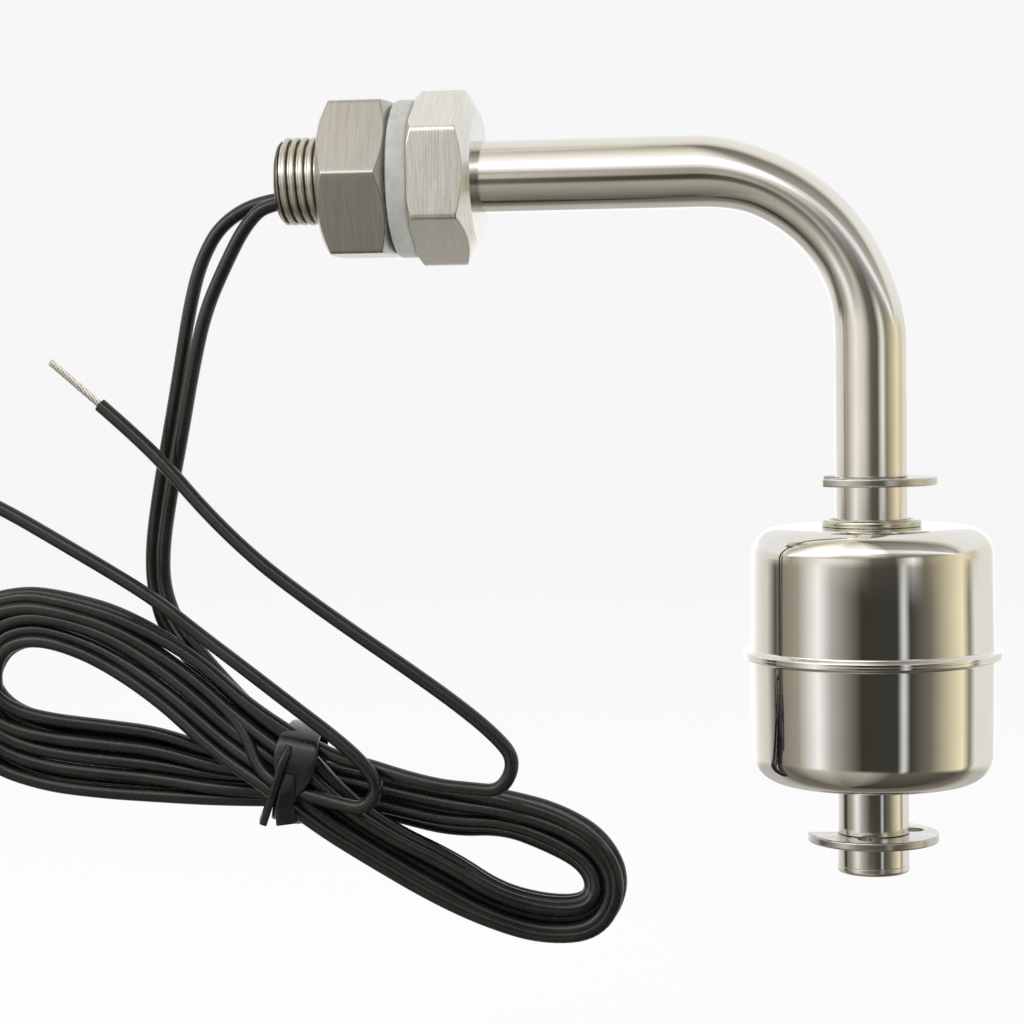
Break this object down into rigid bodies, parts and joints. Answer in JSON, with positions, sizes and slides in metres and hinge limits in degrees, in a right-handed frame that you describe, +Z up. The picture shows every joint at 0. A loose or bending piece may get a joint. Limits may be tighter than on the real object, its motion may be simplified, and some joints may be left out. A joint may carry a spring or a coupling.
{
  "type": "float level switch",
  "caption": "Side-mount float level switch: threaded wall fitting with gasket and lock nut, bent steel stem, sliding steel float between clips, and two leads tied in a hank.",
  "frame": {"origin": "on the thread's axis, in the hexagon head's sealing face", "axes": "-X out along the thread through the tank wall, +X along the arm to the bend, +Z up, with the stem's leg and its float hanging down -Z"},
  "size_m": [0.1269, 0.0284, 0.097],
  "materials": {
    "fitting_steel": "fine turned and milled stainless steel",
    "stem_steel": "satin-polished stainless tube",
    "float_steel": "mirror-polished stainless sheet",
    "clip_steel": "pressed stainless sheet",
    "silicone": "milky silicone rubber",
    "magnet": "dull dark ferrite",
    "retainer": "natural nylon",
    "reed_glass": "clear greenish glass",
    "reed_contact": "plated nickel-iron",
    "sleeve": "shrunk tubing",
    "solder": "dull tin solder",
    "potting": "cast resin",
    "lead_jacket": "smooth black lead insulation",
    "tinned_core": "tinned strands"
  },
  "bodies": {
    "stem": {"threaded_fitting": "fitting_steel", "sealing_gasket": "silicone", "stem_tube": "stem_steel", "stem_end_plug": "stem_steel", "upper_clip": "clip_steel", "lower_clip": "clip_steel", "reed_capsule": "reed_glass", "reed_blade_upper": "reed_contact", "reed_blade_lower": "reed_contact", "reed_sleeve": "sleeve", "solder_joint_upper": "solder", "solder_joint_lower": "solder", "potting_plug": "potting", "lead_1_inner": "lead_jacket", "lead_2_inner": "lead_jacket", "lead_1_exit": "lead_jacket", "lead_2_exit": "lead_jacket", "lead_hank": "lead_jacket", "hank_tie": "lead_jacket", "lead_1_end": "lead_jacket", "lead_2_end": "lead_jacket", "lead_1_tip": "tinned_core", "lead_2_tip": "tinned_core"},
    "float": {"float_upper_shell": "float_steel", "float_lower_shell": "float_steel", "float_inner_tube": "float_steel", "ring_magnet": "magnet", "magnet_retainer_upper": "retainer", "magnet_retainer_lower": "retainer"},
    "nut": {"lock_nut": "fitting_steel"}
  },
  "joints": [
    {"name": "float_slide", "type": "slide", "parent": "stem", "child": "float", "axis": [0, 0, 1], "range_m": [-0.005, 0.0037]},
    {"name": "nut_slide", "type": "slide", "parent": "stem", "child": "nut", "axis": [-1, 0, 0], "range_m": [0, 0.0054]}
  ]
}
